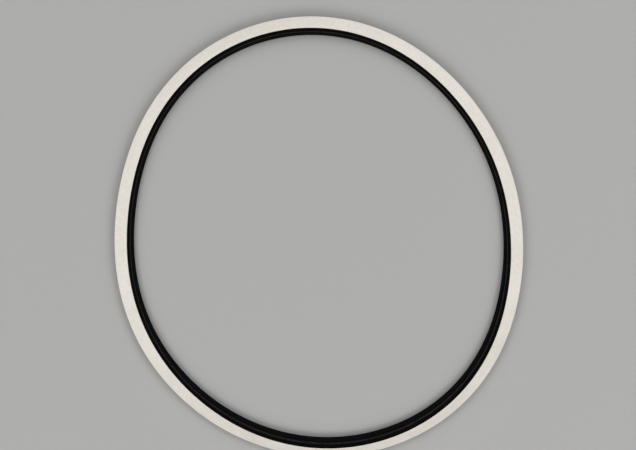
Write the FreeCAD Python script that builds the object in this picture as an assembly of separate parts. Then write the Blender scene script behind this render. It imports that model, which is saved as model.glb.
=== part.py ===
import FreeCAD, Part
import math
import os

os.makedirs("parts", exist_ok=True)

# The sealing ring of a pressure cooker's lid: one closed flexible ring with a light face band
# seated on a black ribbed ring. It lies free on a flat surface, face up.
# Sizes are millimetres and degrees. +Z is up and the foot is at Z = 0. Angles run
# anticlockwise from +X. A section is drawn with its radius as x and its height as z.

# The neck is the line where the face band meets the ribbed ring. A free ring lies nearly
# round: each wave adds size * cos(waves * (angle - crest)) to the neck's radius.
neckRadius = 131.4
ovalSize = 6.4
ovalCrest = 103.5
triSize = 1.0
triCrest = 90.0
quadSize = 0.6
quadCrest = 32.0
hexSize = 0.25
hexCrest = 18.5

# The flexible section rolls outward, most on the side of leanCrest and at the oval's ends.
leanCrest = 271.0
faceTilt = 23.0
tiltLean = 11.8
tiltOval = 11.4

# Face band, and the height of its free lip's underside above the foot.
faceWidth = 8.45
bandThickness = 2.0
lipGap = 2.2
lipDrop = 1.35

# Tongue under the face band, which sits in a groove of the ribbed ring. Both start
# tongueInset from the band's inner end, and the ribbed ring ends in a shoulder past them.
tongueInset = 1.0
tongueWidth = 1.6
tongueDepth = 0.8
tongueClearance = 0.1
shoulderWidth = 1.0

# Ribbed ring: a collar just below the band's inner rim, a leaning wall with ribs, an upright
# toe that overhangs, and a flat foot that starts toeReach further out than the toe.
collarWidth = 0.3
collarStep = 0.6
wallRun = 5.05
wallLean = 1.45
wallOval = 0.57
toeGap = 2.0
toeLean = 0.8
toeHeight = 0.9
toeReach = 2.2
heelSetback = 0.6
ribCount = 3
ribBase = 1.2
ribCrest = 0.45
ribHeight = 0.45

# Places round the ring where a section is worked out. Smooth closed curves join them.
stations = 72


def wave(waves, crest, angle):
    return math.cos(math.radians(waves * (angle - crest)))


def point(radius, height):
    return FreeCAD.Vector(radius, 0, height)


def section(angle):
    # Every corner of the two pieces at one angle, named.
    lean = wave(1, leanCrest, angle)
    oval = wave(2, ovalCrest, angle)
    neck = neckRadius + ovalSize * oval
    neck += triSize * wave(3, triCrest, angle)
    neck += quadSize * wave(4, quadCrest, angle)
    neck += hexSize * wave(6, hexCrest, angle)
    tilt = math.radians(faceTilt + tiltLean * lean + tiltOval * oval)
    outward = point(math.cos(tilt), -math.sin(tilt))
    upward = point(math.sin(tilt), math.cos(tilt))

    # The face runs outward and down from the neck, and ends in the free lip.
    lipTopRadius = neck + faceWidth * math.cos(tilt)
    lipTopHeight = lipGap - lipDrop * lean + bandThickness * math.cos(tilt)
    corner = {"lipTop": point(lipTopRadius, lipTopHeight)}
    corner["lipUnder"] = corner["lipTop"] - upward * bandThickness
    corner["neckTop"] = corner["lipTop"] - outward * faceWidth
    corner["neckUnder"] = corner["neckTop"] - point(0, bandThickness / math.cos(tilt))

    # The tongue, and the groove round it with its clearance.
    corner["tongueInnerTop"] = corner["neckUnder"] + outward * tongueInset
    corner["tongueOuterTop"] = corner["tongueInnerTop"] + outward * tongueWidth
    corner["tongueInnerLow"] = corner["tongueInnerTop"] - upward * tongueDepth
    corner["tongueOuterLow"] = corner["tongueOuterTop"] - upward * tongueDepth
    grooveDepth = tongueDepth + tongueClearance
    corner["grooveInnerTop"] = corner["tongueInnerTop"] - outward * tongueClearance
    corner["grooveOuterTop"] = corner["tongueOuterTop"] + outward * tongueClearance
    corner["grooveInnerLow"] = corner["grooveInnerTop"] - upward * grooveDepth
    corner["grooveOuterLow"] = corner["grooveOuterTop"] - upward * grooveDepth
    corner["shoulder"] = corner["grooveOuterTop"] + outward * shoulderWidth

    # The collar and toe of the ribbed ring, and its foot from footEdge to heel.
    wall = wallRun + wallLean * lean + wallOval * oval
    corner["collarSeat"] = corner["neckTop"] - point(0, collarStep)
    corner["collarTop"] = corner["collarSeat"] - point(collarWidth, 0)
    corner["toe"] = point(neck - wall, toeGap + toeLean * lean)
    corner["toeTop"] = corner["toe"] + point(0, toeHeight)
    corner["footEdge"] = point(neck - wall + toeReach, 0)
    corner["heel"] = point(corner["shoulder"].x - heelSetback, 0)

    # The ribs share the wall equally and stand out square to it.
    slope = corner["toeTop"] - corner["collarTop"]
    pitch = slope.Length / ribCount
    slope.normalize()
    standout = point(slope.z, -slope.x) * ribHeight
    for rib in range(ribCount):
        middle = corner["collarTop"] + slope * (pitch * (rib + 0.5))
        corner["rib%dStart" % rib] = middle - slope * (ribBase / 2)
        corner["rib%dUpper" % rib] = middle - slope * (ribCrest / 2) + standout
        corner["rib%dLower" % rib] = middle + slope * (ribCrest / 2) + standout
        corner["rib%dEnd" % rib] = middle + slope * (ribBase / 2)
    return corner


def ringCurves():
    # One smooth closed curve for each named corner. All share the same parameters, so the
    # faces ruled between them agree with each other exactly.
    angles = [360 * i / stations for i in range(stations)]
    sections = [section(angle) for angle in angles]
    zAxis = FreeCAD.Vector(0, 0, 1)
    curves = {}
    for name in sections[0]:
        points = []
        for angle, corner in zip(angles, sections):
            points.append(FreeCAD.Rotation(zAxis, angle).multVec(corner[name]))
        curve = Part.BSplineCurve()
        curve.interpolate(Points=points, PeriodicFlag=True, Parameters=angles + [360])
        curves[name] = curve.toShape()
    return curves


def ringSolid(curves, loop):
    # A closed ring whose section has the loop's corners, in order. The foot is a true plane.
    faces = []
    for name, following in zip(loop, loop[1:] + loop[:1]):
        if (name, following) == ("footEdge", "heel"):
            wires = [Part.Wire(curves["heel"]), Part.Wire(curves["footEdge"])]
            faces.append(Part.makeFace(wires, "Part::FaceMakerBullseye"))
        else:
            faces.append(Part.makeRuledSurface(curves[name], curves[following]))
    shell = Part.makeShell(faces)
    shell.sewShape()
    solid = Part.makeSolid(Part.Shell(shell.Faces))
    if solid.Volume < 0:
        solid.reverse()
    return solid


def faceBand(curves):
    loop = ["neckTop", "lipTop", "lipUnder", "tongueOuterTop", "tongueOuterLow"]
    loop += ["tongueInnerLow", "tongueInnerTop", "neckUnder"]
    return ringSolid(curves, loop)


def ribbedRing(curves):
    loop = ["neckUnder", "collarSeat", "collarTop"]
    for rib in range(ribCount):
        loop += ["rib%d%s" % (rib, end) for end in ("Start", "Upper", "Lower", "End")]
    loop += ["toeTop", "toe", "footEdge", "heel", "shoulder"]
    loop += ["grooveOuterTop", "grooveOuterLow", "grooveInnerLow", "grooveInnerTop"]
    return ringSolid(curves, loop)


curves = ringCurves()
pieces = {"face_band": faceBand(curves), "ribbed_ring": ribbedRing(curves)}

# The origin is the middle of the whole ring's outline, on the surface that it lies on.
outline = Part.makeCompound(list(pieces.values())).optimalBoundingBox()
middle = FreeCAD.Vector(outline.Center.x, outline.Center.y, 0)
for name, piece in pieces.items():
    piece.translate(-middle)
    piece.exportStep("parts/%s.step" % name)
    print(name, round(piece.Volume), "mm3, closed and valid:", piece.isValid())
print("whole ring", [round(size, 2) for size in (outline.XLength, outline.YLength, outline.ZLength)])
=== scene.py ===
import math
import bpy
import numpy as np
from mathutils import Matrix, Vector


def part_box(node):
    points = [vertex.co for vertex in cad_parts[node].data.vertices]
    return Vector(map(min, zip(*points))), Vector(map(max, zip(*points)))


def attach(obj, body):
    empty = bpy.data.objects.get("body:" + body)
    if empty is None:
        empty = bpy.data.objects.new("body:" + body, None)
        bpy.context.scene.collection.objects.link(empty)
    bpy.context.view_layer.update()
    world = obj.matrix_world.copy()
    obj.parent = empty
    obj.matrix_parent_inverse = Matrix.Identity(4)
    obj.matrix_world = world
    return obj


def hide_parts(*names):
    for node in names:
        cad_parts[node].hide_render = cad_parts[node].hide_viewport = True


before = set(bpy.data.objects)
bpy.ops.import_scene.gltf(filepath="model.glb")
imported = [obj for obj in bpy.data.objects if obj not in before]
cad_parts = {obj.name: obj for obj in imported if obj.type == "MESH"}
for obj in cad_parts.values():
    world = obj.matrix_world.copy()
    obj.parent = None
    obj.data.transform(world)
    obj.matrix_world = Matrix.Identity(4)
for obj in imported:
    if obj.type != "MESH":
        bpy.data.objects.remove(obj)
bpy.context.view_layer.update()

# Lengths are metres and angles degrees. A section lies in (radius, height). The rows of
# every array are the stations round the ring, and a loop's points are its columns.

ringForm = {
    "stations": 600,         # grid rows round the ring
    "neckRadius": 0.1314,    # where the light face meets the black ring
    # waves on the neck's radius: how many crests, how high, and the angle of one of them
    "waves": ((2, 0.0064, 103.5), (3, 0.0010, 90.0), (4, 0.0006, 32.0), (6, 0.00025, 18.5)),
    "leanCrest": 271.0,      # the side where the section rolls outward most
    "ovalCrest": 103.5,      # one end of the oval, where it also rolls outward
    "faceTilt": 23.0, "tiltLean": 11.8, "tiltOval": 11.4,
    "faceWidth": 0.00845, "bandThickness": 0.0020,
    "lipGap": 0.0022, "lipDrop": 0.00135,      # the free lip's underside above the floor
    "tongueInset": 0.0010, "tongueWidth": 0.0016, "tongueDepth": 0.0008,
    "tongueClearance": 0.0001, "shoulderWidth": 0.0010,
    "wallRun": 0.00505, "wallLean": 0.00145, "wallOval": 0.00057,    # the black wall's reach inward
    "toeGap": 0.0020, "toeLean": 0.0008,       # the toe's underside above the floor
}


def wave(count, crest):
    # cosine with so many crests round the ring, one of them at the crest angle
    return np.cos(np.radians(count * (stationAngles - crest)))


def pair(radius, height):
    return np.stack(np.broadcast_arrays(radius, height), axis=-1)


stationAngles = np.arange(ringForm["stations"]) * 360.0 / ringForm["stations"]


def workOutSection(form):
    # Corners of both pieces at every station. The neck's radius is a circle plus a few
    # cosine waves. The face runs out and down from it at the tilt angle, to the free lip.
    lean = wave(1, form["leanCrest"])
    oval = wave(2, form["ovalCrest"])
    neck = form["neckRadius"] + sum(size * wave(count, crest) for count, size, crest in form["waves"])
    tilt = np.radians(form["faceTilt"] + form["tiltLean"] * lean + form["tiltOval"] * oval)
    out = pair(np.cos(tilt), -np.sin(tilt))
    up = pair(np.sin(tilt), np.cos(tilt))
    at = {"out": out, "up": up}

    lipHeight = form["lipGap"] - form["lipDrop"] * lean + form["bandThickness"] * np.cos(tilt)
    at["lipTop"] = pair(neck + form["faceWidth"] * np.cos(tilt), lipHeight)
    at["lipUnder"] = at["lipTop"] - up * form["bandThickness"]
    at["neckTop"] = at["lipTop"] - out * form["faceWidth"]
    at["neckUnder"] = at["neckTop"] - pair(0.0, form["bandThickness"] / np.cos(tilt))
    at["tongueInner"] = at["neckUnder"] + out * form["tongueInset"]
    at["tongueOuter"] = at["tongueInner"] + out * form["tongueWidth"]
    at["grooveInner"] = at["tongueInner"] - out * form["tongueClearance"]
    at["grooveOuter"] = at["tongueOuter"] + out * form["tongueClearance"]
    at["shoulder"] = at["grooveOuter"] + out * form["shoulderWidth"]
    wall = form["wallRun"] + form["wallLean"] * lean + form["wallOval"] * oval
    at["toe"] = pair(neck - wall, form["toeGap"] + form["toeLean"] * lean)
    return at


section = workOutSection(ringForm)

roundingShare = 0.48     # the most of a side that the rounding of one corner takes


def softCorners(corners, steps, rests):
    # corners is a list of (points, rounding). Each corner becomes a quadratic curve of some
    # steps that starts and ends its rounding away from the point. Rests are even points on
    # the straight stretch to the next corner.
    loop = []
    count = len(corners)
    starts, ends = [], []
    for i, (here, rounding) in enumerate(corners):
        before = corners[i - 1][0] - here
        after = corners[(i + 1) % count][0] - here
        lengthBefore = np.linalg.norm(before, axis=-1, keepdims=True)
        lengthAfter = np.linalg.norm(after, axis=-1, keepdims=True)
        starts.append(here + before / lengthBefore * np.minimum(rounding, roundingShare * lengthBefore))
        ends.append(here + after / lengthAfter * np.minimum(rounding, roundingShare * lengthAfter))
    for i in range(count):
        here = corners[i][0]
        t = np.linspace(0.0, 1.0, steps)[None, :, None]
        bend = (1 - t) ** 2 * starts[i][:, None] + 2 * t * (1 - t) * here[:, None]
        bend = bend + t ** 2 * ends[i][:, None]
        t = np.linspace(0.0, 1.0, rests + 2)[None, 1:-1, None]
        straight = (1 - t) * ends[i][:, None] + t * starts[(i + 1) % count][:, None]
        loop += [bend, straight]
    return np.concatenate(loop, axis=1)


def ringGrid(name, loop, centre, crest=None):
    # Surface of two parameters, station and place in the loop: the point is turned about
    # the ring's axis by the station's angle. Both ways round it closes on itself.
    rows, columns = loop.shape[:2]
    angle = np.radians(stationAngles)[:, None]
    x = loop[..., 0] * np.cos(angle) - centre[0]
    y = loop[..., 0] * np.sin(angle) - centre[1]
    points = np.stack((x, y, loop[..., 1]), axis=-1).reshape(-1, 3)
    index = np.arange(rows * columns).reshape(rows, columns)
    nextRow = np.roll(index, -1, 0)
    nextColumn = np.roll(index, -1, 1)
    quads = np.stack((index, nextRow, np.roll(nextRow, -1, 1), nextColumn), axis=-1).reshape(-1, 4)

    mesh = bpy.data.meshes.new(name)
    mesh.vertices.add(len(points))
    mesh.vertices.foreach_set("co", points.ravel())
    mesh.loops.add(quads.size)
    mesh.loops.foreach_set("vertex_index", quads.ravel())
    mesh.polygons.add(len(quads))
    mesh.polygons.foreach_set("loop_start", np.arange(0, quads.size, 4))
    mesh.polygons.foreach_set("loop_total", np.full(len(quads), 4))
    mesh.update(calc_edges=True)
    mesh.validate()
    mesh.polygons.foreach_set("use_smooth", np.ones(len(quads), dtype=bool))

    # Flow coordinates for patterns that run along the ring: cosine and sine of the angle,
    # so they close without a seam, and the distance along the loop in millimetres. The
    # crest value, where there is one, is the same at every station.
    across = np.linalg.norm(np.diff(loop, axis=1, prepend=loop[:, :1]), axis=-1).cumsum(axis=1)
    flow = np.stack(np.broadcast_arrays(np.cos(angle), np.sin(angle), 1000 * across), axis=-1)
    mesh.attributes.new("flow", "FLOAT_VECTOR", "POINT").data.foreach_set("vector", flow.ravel())
    if crest is not None:
        mesh.attributes.new("crest", "FLOAT", "POINT").data.foreach_set("value", np.tile(crest, rows))
    piece = bpy.data.objects.new(name, mesh)
    bpy.context.scene.collection.objects.link(piece)
    return piece


def ringCentre():
    # the middle of the free lip's outline, less the middle of the CAD band
    angle = np.radians(stationAngles)
    low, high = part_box("face_band")
    x = section["lipTop"][:, 0] * np.cos(angle)
    y = section["lipTop"][:, 0] * np.sin(angle)
    return (x.min() + x.max() - low.x - high.x) / 2, (y.min() + y.max() - low.y - high.y) / 2


centre = ringCentre()

faceBand = {
    "rimRound": 0.00055,     # rounding of the two upper rims
    "endRound": 0.00050,     # and of the lip's lower edge
    "tongueRound": 0.00015,
    "crown": 0.00006,        # how far the middle of the face stands proud
    "crownRound": 0.0030,
    "flash": 0.00005,        # thin moulding line round the lip's edge
    "flashRound": 0.00008,
    "cornerSteps": 6, "restPoints": 4,
}


def makeFaceBand(at, form, size):
    # One rounded closed loop: outward under the tongue and the free lip, then back over
    # the sloping face.
    tongueDrop = at["up"] * form["tongueDepth"]
    faceMiddle = (at["neckTop"] + at["lipTop"]) / 2 + at["up"] * size["crown"]
    lipMiddle = (at["lipTop"] + at["lipUnder"]) / 2 + at["out"] * size["flash"]
    corners = [
        (at["neckUnder"], size["tongueRound"]),
        (at["tongueInner"], size["tongueRound"]),
        (at["tongueInner"] - tongueDrop, size["tongueRound"]),
        (at["tongueOuter"] - tongueDrop, size["tongueRound"]),
        (at["tongueOuter"], size["tongueRound"]),
        (at["lipUnder"], size["endRound"]),
        (lipMiddle, size["flashRound"]),
        (at["lipTop"], size["rimRound"]),
        (faceMiddle, size["crownRound"]),
        (at["neckTop"], size["rimRound"]),
    ]
    loop = softCorners(corners, size["cornerSteps"], size["restPoints"])
    return ringGrid("faceBandSilicone", loop, centre)


ribbedRing = {
    "collarStep": 0.0006, "collarWidth": 0.0003,
    "toeHeight": 0.0009, "toeReach": 0.0022,
    "heelSetback": 0.0006,
    "collarRound": 0.0002, "seatRound": 0.0001, "grooveRound": 0.0001, "shoulderRound": 0.0003,
    "toeTopRound": 0.0002, "toeRound": 0.00035, "footRound": 0.0004,
    "beadPlaces": (0.12, 0.39, 0.70),          # shares of the wall, from collar to toe
    "beadHeights": (0.00020, 0.00080, 0.00035),
    "beadHalfWidths": (0.09, 0.13, 0.11),      # shares of the wall as well
    "wallStart": 0.02, "wallEnd": 0.98, "wallPoints": 64,
    "cornerSteps": 5, "restPoints": 3,
    "highlightPower": 3,          # how sharply the painted crest highlight, partly rubbed wear, keeps to the beads' tops
}


def makeRibbedRing(at, form, size):
    # The wall is a straight lean from collar to toe with beads standing square out of it.
    # A bead is its height times half of one plus the cosine, which falls to nothing at its
    # half width. The rest of the loop is plain rounded corners.
    collarSeat = at["neckTop"] - pair(0.0, size["collarStep"])
    collarTop = collarSeat - pair(size["collarWidth"], 0.0)
    toeTop = at["toe"] + pair(0.0, size["toeHeight"])
    footEdge = pair(at["toe"][:, 0] + size["toeReach"], 0.0)
    along = toeTop - collarTop
    length = np.linalg.norm(along, axis=-1, keepdims=True)
    square = np.stack((along[:, 1], -along[:, 0]), axis=-1) / length
    t = np.linspace(size["wallStart"], size["wallEnd"], size["wallPoints"])
    rise = np.zeros_like(t)
    for place, height, half in zip(size["beadPlaces"], size["beadHeights"], size["beadHalfWidths"]):
        reach = np.clip(np.abs(t - place) / half, 0.0, 1.0)
        rise += height * (0.5 + 0.5 * np.cos(math.pi * reach))
    wall = collarTop[:, None] + along[:, None] * t[None, :, None] + square[:, None] * rise[None, :, None]

    heel = pair(at["shoulder"][:, 0] - size["heelSetback"], 0.0)
    grooveDrop = at["up"] * (form["tongueDepth"] + form["tongueClearance"])
    corners = [
        (at["toe"], size["toeRound"]),
        (footEdge, size["footRound"]),
        (heel, size["footRound"]),
        (at["shoulder"], size["shoulderRound"]),
        (at["grooveOuter"], size["grooveRound"]),
        (at["grooveOuter"] - grooveDrop, size["grooveRound"]),
        (at["grooveInner"] - grooveDrop, size["grooveRound"]),
        (at["grooveInner"], size["grooveRound"]),
        (at["neckUnder"], size["seatRound"]),
        (collarSeat, size["seatRound"]),
        (collarTop, size["collarRound"]),
        (toeTop, size["toeTopRound"]),
    ]
    loop = softCorners(corners, size["cornerSteps"], size["restPoints"])
    # the last corner is the toe's top: the beaded wall takes the place of the rests before it
    wallAfter = (len(corners) - 1) * (size["cornerSteps"] + size["restPoints"])
    wallFrom = wallAfter - size["restPoints"]
    loop = np.concatenate((loop[:, :wallFrom], wall, loop[:, wallAfter:]), axis=1)
    crest = np.zeros(loop.shape[1])
    # the crest value is the mask of the painted highlight: it lightens the beads' tops in the rubber's
    # colour
    crest[wallFrom:wallFrom + size["wallPoints"]] = (rise / max(size["beadHeights"])) ** size["highlightPower"]
    return ringGrid("ribbedRingRubber", loop, centre, crest)


print("making the face band and the ribbed ring")
bandPiece = makeFaceBand(section, ringForm, faceBand)
ringPiece = makeRibbedRing(section, ringForm, ribbedRing)


def node(tree, kind, settings=None, **sockets):
    # one shader node, with its settings and the values or links of its inputs; an input
    # is given by name, or by its number after an n
    made = tree.nodes.new(kind)
    for key, value in (settings or {}).items():
        setattr(made, key, value)
    for key, value in sockets.items():
        socket = made.inputs[int(key[1:])] if key[0] == "n" and key[1:].isdigit() else made.inputs[key]
        if isinstance(value, bpy.types.NodeSocket):
            tree.links.new(value, socket)
        else:
            socket.default_value = value
    return made


def newMaterial(name):
    material = bpy.data.materials.new(name)
    material.use_nodes = True
    tree = material.node_tree
    shader = tree.nodes["Principled BSDF"]
    return material, tree, shader


def ramp(tree, factor, span, first, last):
    # colour ramp from the first colour at the span's start to the last at its end
    made = tree.nodes.new("ShaderNodeValToRGB")
    tree.links.new(factor, made.inputs["Fac"])
    made.color_ramp.elements[0].position = span[0]
    made.color_ramp.elements[1].position = span[1]
    made.color_ramp.elements[0].color = first
    made.color_ramp.elements[1].color = last
    return made.outputs["Color"]


lightSilicone = {
    "pale": (0.785, 0.745, 0.692, 1.0),
    "warm": (0.698, 0.656, 0.588, 1.0),
    "toneSpan": (0.38, 0.62),        # pattern values where warm ends and pale begins
    "patchScale": 38.0, "streakStretch": (7.0, 7.0, 5.0), "mottlingScale": 480.0, "grainScale": 5200.0,
    "streakShare": 0.35, "mottlingShare": 0.5,
    "roughLow": 0.44, "roughHigh": 0.56,
    "streakBump": 0.25, "streakDepth": 0.00008,
    "grainBump": 0.35, "grainDepth": 0.00003,
    "scatter": 0.12, "scatterRadius": (1.0, 0.9, 0.8), "scatterScale": 0.0015,
    "specular": 0.42,
}


def siliconeMaterial(look):
    # Matt silicone: soft tone drift in patches, drawn streaks along the ring, small
    # mottling and fine grain.
    material, tree, shader = newMaterial("lightSilicone")
    place = node(tree, "ShaderNodeTexCoord").outputs["Object"]
    flow = node(tree, "ShaderNodeAttribute", {"attribute_name": "flow"}).outputs["Vector"]
    patches = node(tree, "ShaderNodeTexNoise", Vector=place, Scale=look["patchScale"], Detail=4.0,
                   Roughness=0.6)
    stretch = node(tree, "ShaderNodeMapping", Vector=flow, Scale=look["streakStretch"])
    streaks = node(tree, "ShaderNodeTexNoise", Vector=stretch.outputs["Vector"], Scale=1.0, Detail=5.0)
    mottling = node(tree, "ShaderNodeTexNoise", Vector=place, Scale=look["mottlingScale"], Detail=3.0,
                    Roughness=0.7)
    grain = node(tree, "ShaderNodeTexNoise", Vector=place, Scale=look["grainScale"], Detail=2.0)
    drift = node(tree, "ShaderNodeMix", {"data_type": "FLOAT"}, n2=patches.outputs["Fac"],
                 n3=streaks.outputs["Fac"], n0=look["streakShare"])
    tone = node(tree, "ShaderNodeMix", {"data_type": "FLOAT"}, n2=drift.outputs[0],
                n3=mottling.outputs["Fac"], n0=look["mottlingShare"])
    colour = ramp(tree, tone.outputs[0], look["toneSpan"], look["warm"], look["pale"])
    tree.links.new(colour, shader.inputs["Base Color"])
    rough = node(tree, "ShaderNodeMapRange", Value=streaks.outputs["Fac"])
    rough.inputs["To Min"].default_value = look["roughLow"]
    rough.inputs["To Max"].default_value = look["roughHigh"]
    tree.links.new(rough.outputs["Result"], shader.inputs["Roughness"])
    coarse = node(tree, "ShaderNodeBump", Strength=look["streakBump"], Distance=look["streakDepth"],
                  Height=streaks.outputs["Fac"])
    fine = node(tree, "ShaderNodeBump", Strength=look["grainBump"], Distance=look["grainDepth"],
                Height=grain.outputs["Fac"], Normal=coarse.outputs["Normal"])
    tree.links.new(fine.outputs["Normal"], shader.inputs["Normal"])
    shader.inputs["Subsurface Weight"].default_value = look["scatter"]
    shader.inputs["Subsurface Radius"].default_value = look["scatterRadius"]
    shader.inputs["Subsurface Scale"].default_value = look["scatterScale"]
    shader.inputs["Specular IOR Level"].default_value = look["specular"]
    return material


blackRubber = {
    "deep": (0.0005, 0.0005, 0.0006, 1.0),
    "bloom": (0.0040, 0.0039, 0.0038, 1.0),
    # painted highlight: the lighter grey laid on the bead crests stands in for the light they catch, and
    # partly for rubbed wear
    "rubbedHighlight": (0.0360, 0.0350, 0.0340, 1.0),
    "toneSpan": (0.35, 0.72),        # pattern values where deep ends and bloom begins
    "patchScale": 120.0, "streakStretch": (9.0, 9.0, 7.0), "dabScale": 620.0, "grainScale": 3800.0,
    "streakShare": 0.5,
    "dabSpan": (0.35, 0.65), "dabLeast": 0.25,      # the least share of the lighter crest tone, a painted highlight and partly wear, on a crest
    "roughLow": 0.32, "roughHigh": 0.62,
    "streakBump": 0.3, "streakDepth": 0.00010,
    "grainBump": 0.6, "grainDepth": 0.00005,
    "specular": 0.04,
}


def rubberMaterial(look):
    # Black rubber: a faint grey bloom in patches and along the ring, a lighter grey painted along the
    # bead crests as a painted highlight of the light they catch, partly rubbed wear, and a leathery
    # grain.
    material, tree, shader = newMaterial("blackRubber")
    place = node(tree, "ShaderNodeTexCoord").outputs["Object"]
    flow = node(tree, "ShaderNodeAttribute", {"attribute_name": "flow"}).outputs["Vector"]
    patches = node(tree, "ShaderNodeTexNoise", Vector=place, Scale=look["patchScale"], Detail=5.0,
                   Roughness=0.65)
    stretch = node(tree, "ShaderNodeMapping", Vector=flow, Scale=look["streakStretch"])
    streaks = node(tree, "ShaderNodeTexNoise", Vector=stretch.outputs["Vector"], Scale=1.0, Detail=6.0)
    grain = node(tree, "ShaderNodeTexNoise", Vector=place, Scale=look["grainScale"], Detail=3.0)
    tone = node(tree, "ShaderNodeMix", {"data_type": "FLOAT"}, n2=patches.outputs["Fac"],
                n3=streaks.outputs["Fac"], n0=look["streakShare"])
    colour = ramp(tree, tone.outputs[0], look["toneSpan"], look["deep"], look["bloom"])
    crest = node(tree, "ShaderNodeAttribute", {"attribute_name": "crest"}).outputs["Fac"]
    dabs = node(tree, "ShaderNodeTexNoise", Vector=place, Scale=look["dabScale"], Detail=3.0,
                Roughness=0.6)
    rub = node(tree, "ShaderNodeMapRange", Value=dabs.outputs["Fac"])
    rub.inputs["From Min"].default_value = look["dabSpan"][0]
    rub.inputs["From Max"].default_value = look["dabSpan"][1]
    rub.inputs["To Min"].default_value = look["dabLeast"]
    # painted highlight: the crest mask, broken into dabs, mixes the lighter grey onto the beads' tops
    share = node(tree, "ShaderNodeMath", {"operation": "MULTIPLY"}, n0=rub.outputs["Result"], n1=crest)
    wornAndHighlight = node(tree, "ShaderNodeMix", {"data_type": "RGBA"}, n0=share.outputs[0], n6=colour,
                n7=look["rubbedHighlight"])
    tree.links.new(wornAndHighlight.outputs[2], shader.inputs["Base Color"])
    rough = node(tree, "ShaderNodeMapRange", Value=patches.outputs["Fac"])
    rough.inputs["To Min"].default_value = look["roughLow"]
    rough.inputs["To Max"].default_value = look["roughHigh"]
    tree.links.new(rough.outputs["Result"], shader.inputs["Roughness"])
    coarse = node(tree, "ShaderNodeBump", Strength=look["streakBump"], Distance=look["streakDepth"],
                  Height=streaks.outputs["Fac"])
    fine = node(tree, "ShaderNodeBump", Strength=look["grainBump"], Distance=look["grainDepth"],
                Height=grain.outputs["Fac"], Normal=coarse.outputs["Normal"])
    tree.links.new(fine.outputs["Normal"], shader.inputs["Normal"])
    shader.inputs["Specular IOR Level"].default_value = look["specular"]
    return material


bandPiece.data.materials.append(siliconeMaterial(lightSilicone))
ringPiece.data.materials.append(rubberMaterial(blackRubber))

for piece, cadNode, slotName in ((bandPiece, "face_band", "off_white_silicone"),
                                 (ringPiece, "ribbed_ring", "black_rubber")):
    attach(piece, "root")
    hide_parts(cadNode)
print("pieces placed and finished")

studio = {
    "floorSide": 4.0,
    "floorDark": (0.392, 0.390, 0.384, 1.0),
    "floorLight": (0.408, 0.406, 0.400, 1.0),
    "grainScale": 900.0, "grainSpan": (0.3, 0.7),
    "floorRoughness": 0.85, "floorSpecular": 0.2,
    "boxSide": 0.60, "boxReach": 0.75, "boxHeight": 0.60,
    "boxPowers": (2.15, 2.02, 1.90, 1.92, 1.95, 2.12, 2.30, 2.22),    # watts, anticlockwise from +X
    "fill": 0.03,            # strength of the even light from all round
}


def buildFloor(size):
    # a plain pale matt floor
    half = size["floorSide"] / 2
    corners = [(-half, -half, 0), (half, -half, 0), (half, half, 0), (-half, half, 0)]
    mesh = bpy.data.meshes.new("studioFloor")
    mesh.from_pydata(corners, [], [(0, 1, 2, 3)])
    floor = bpy.data.objects.new("studioFloor", mesh)
    material, tree, shader = newMaterial("paleFloor")
    place = node(tree, "ShaderNodeTexCoord").outputs["Object"]
    grain = node(tree, "ShaderNodeTexNoise", Vector=place, Scale=size["grainScale"], Detail=3.0)
    colour = ramp(tree, grain.outputs["Fac"], size["grainSpan"], size["floorDark"], size["floorLight"])
    tree.links.new(colour, shader.inputs["Base Color"])
    shader.inputs["Roughness"].default_value = size["floorRoughness"]
    shader.inputs["Specular IOR Level"].default_value = size["floorSpecular"]
    mesh.materials.append(material)
    bpy.context.scene.collection.objects.link(floor)


def buildLights(size):
    # softboxes evenly round the ring, each aimed at its middle, and a dim even fill
    for number, power in enumerate(size["boxPowers"]):
        angle = 2 * math.pi * number / len(size["boxPowers"])
        lamp = bpy.data.lights.new("softbox%d" % number, "AREA")
        lamp.shape = "SQUARE"
        lamp.size = size["boxSide"]
        lamp.energy = power
        lampObject = bpy.data.objects.new(lamp.name, lamp)
        lampObject.location = (size["boxReach"] * math.cos(angle), size["boxReach"] * math.sin(angle),
                               size["boxHeight"])
        lampObject.rotation_euler = (-lampObject.location).to_track_quat("-Z", "Y").to_euler()
        bpy.context.scene.collection.objects.link(lampObject)

    world = bpy.data.worlds.new("studioFill")
    world.use_nodes = True
    background = world.node_tree.nodes["Background"]
    background.inputs["Color"].default_value = (1.0, 1.0, 1.0, 1.0)
    background.inputs["Strength"].default_value = size["fill"]
    bpy.context.scene.world = world


cameraView = {
    "distance": 1.3,         # above the surface, looking straight down
    "frameWidth": 0.4165,    # what the frame's width covers on the surface
    "sideStep": -0.00056,    # where it stands, from the middle of the ring
    "upStep": 0.0076,
    "sensor": 36.0,          # the camera's own sensor width, in millimetres
    "farClip": 20.0,
}


def placeCamera(size):
    camera = bpy.data.cameras.new("overheadCamera")
    camera.sensor_width = size["sensor"]
    camera.lens = size["sensor"] * size["distance"] / size["frameWidth"]
    camera.clip_end = size["farClip"]
    cameraObject = bpy.data.objects.new("overheadCamera", camera)
    cameraObject.location = (size["sideStep"], size["upStep"], size["distance"])
    bpy.context.scene.collection.objects.link(cameraObject)
    bpy.context.scene.camera = cameraObject


buildFloor(studio)
buildLights(studio)
placeCamera(cameraView)
bpy.context.scene.view_settings.view_transform = "Standard"
print("studio and camera placed")
